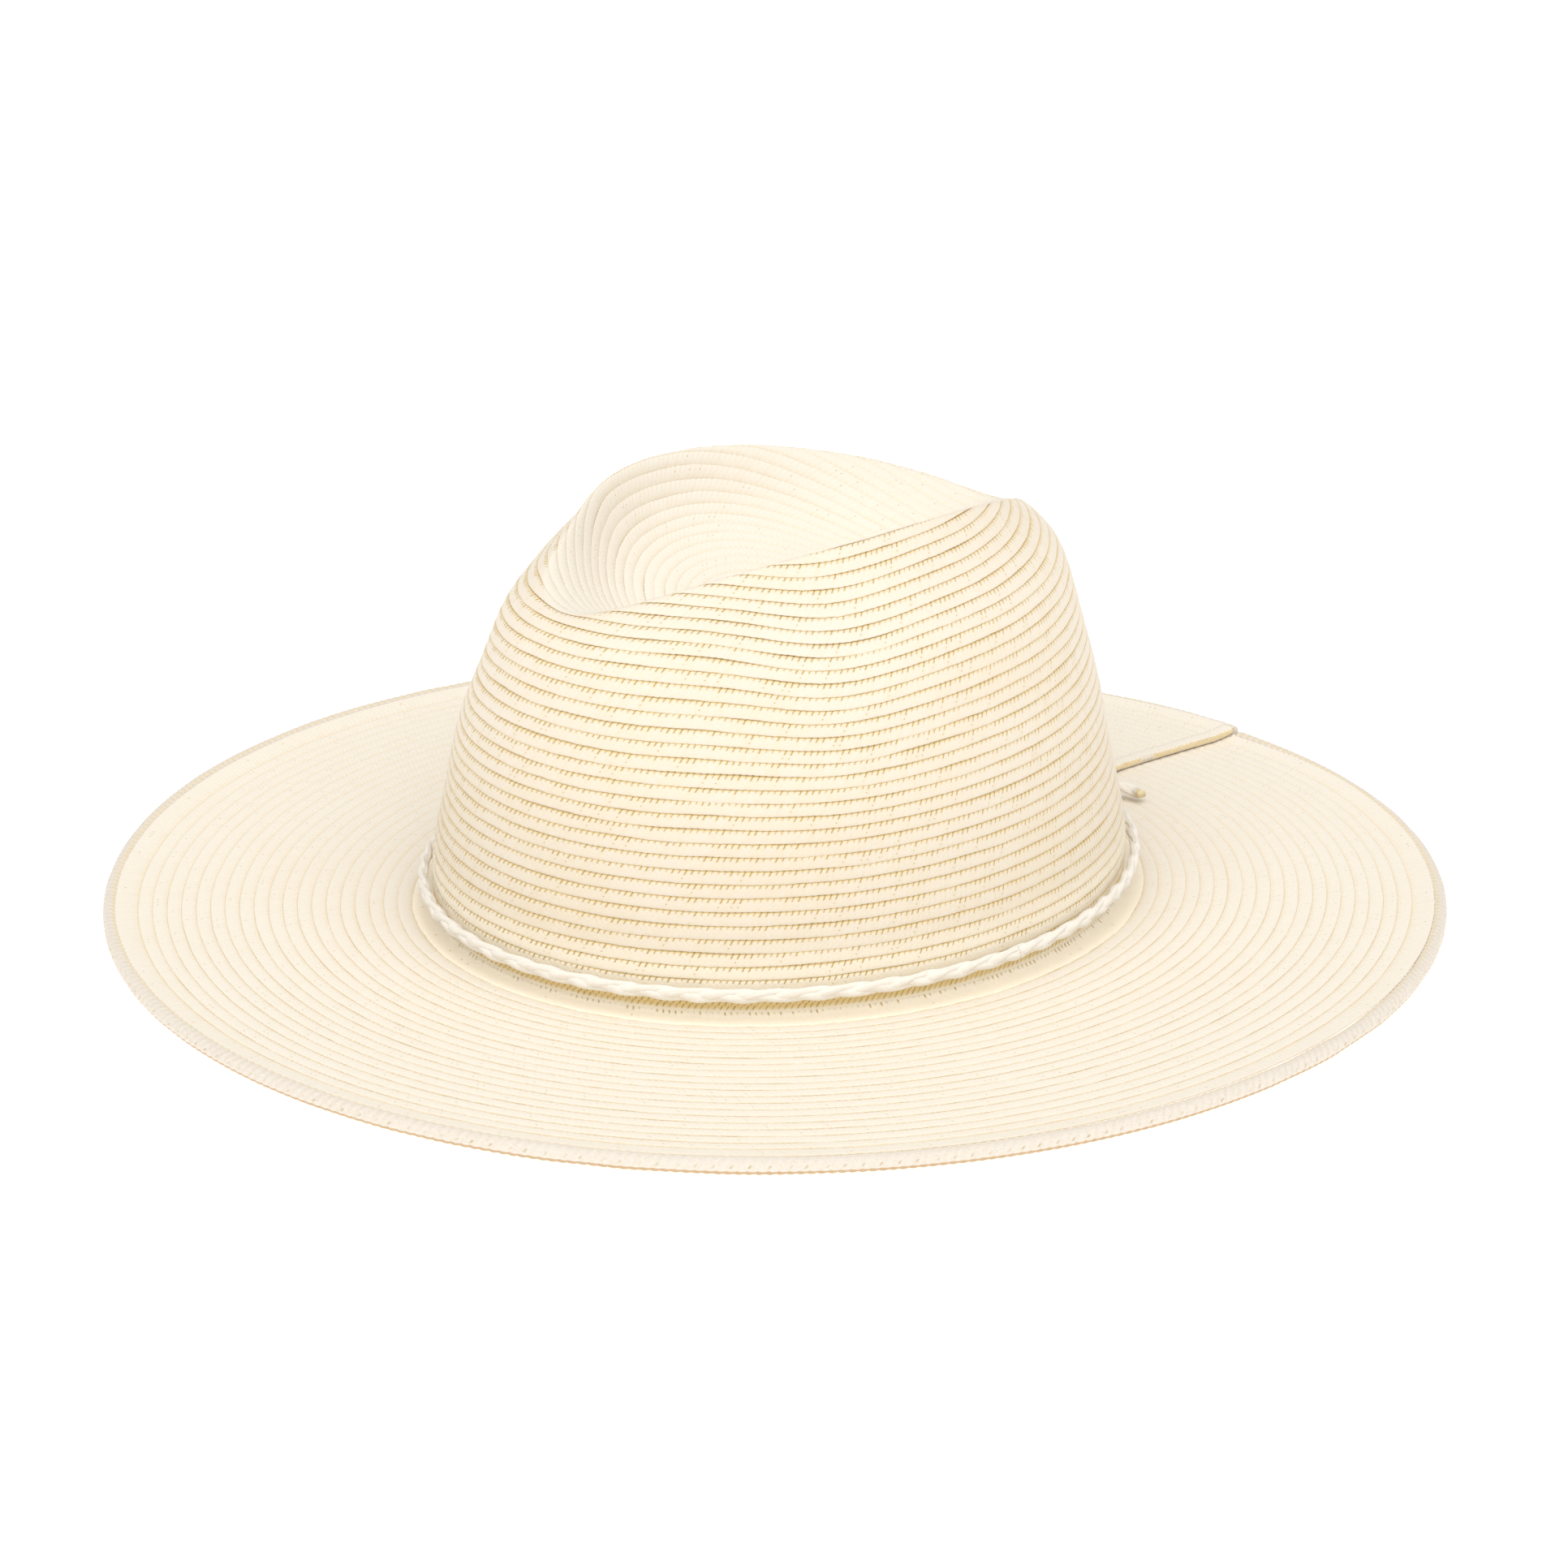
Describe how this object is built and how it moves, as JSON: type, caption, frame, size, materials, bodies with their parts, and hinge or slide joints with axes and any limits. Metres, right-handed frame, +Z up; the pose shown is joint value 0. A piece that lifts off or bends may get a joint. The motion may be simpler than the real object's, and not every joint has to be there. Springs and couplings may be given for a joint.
{
  "type": "straw sun hat",
  "caption": "Wide-brim sun hat of sewn paper-straw braid, with a creased teardrop crown, a split back brim, an inner sweatband and a lift-off knotted cord band",
  "frame": {"origin": "on the ground under the middle of the hat: the centre of the brim's outline in plan, level with the lowest point of the brim's edge", "axes": "+Z up out of the crown, -Y to the front where the crown is pinched, +Y to the back where the brim is slit, +X to the wearer's left"},
  "size_m": [0.3478, 0.3755, 0.1211],
  "materials": {
    "straw_braid": "matte",
    "edge_braid": "matte",
    "spring_wire": "satin",
    "binding_tape": "matte",
    "sewing_thread": "matte",
    "sweatband_cloth": "matte",
    "label_cloth": "matte",
    "cotton_cord": "matte"
  },
  "bodies": {
    "hat": {"crown": "straw_braid", "brim": "straw_braid", "brim_edge_braid": "edge_braid", "brim_wire": "spring_wire", "slit_binding_left": "binding_tape", "slit_binding_right": "binding_tape", "slit_bar_tack": "sewing_thread", "sweatband": "sweatband_cloth", "sweatband_stitches": "sewing_thread", "size_label": "label_cloth"},
    "band": {"hat_band": "cotton_cord", "band_knot": "cotton_cord", "band_tail_right": "cotton_cord", "band_tail_left": "cotton_cord"}
  },
  "joints": [
    {"name": "band_lift", "type": "slide", "parent": "hat", "child": "band", "axis": [0, 0, 1], "range_m": [0, 0.12]}
  ]
}
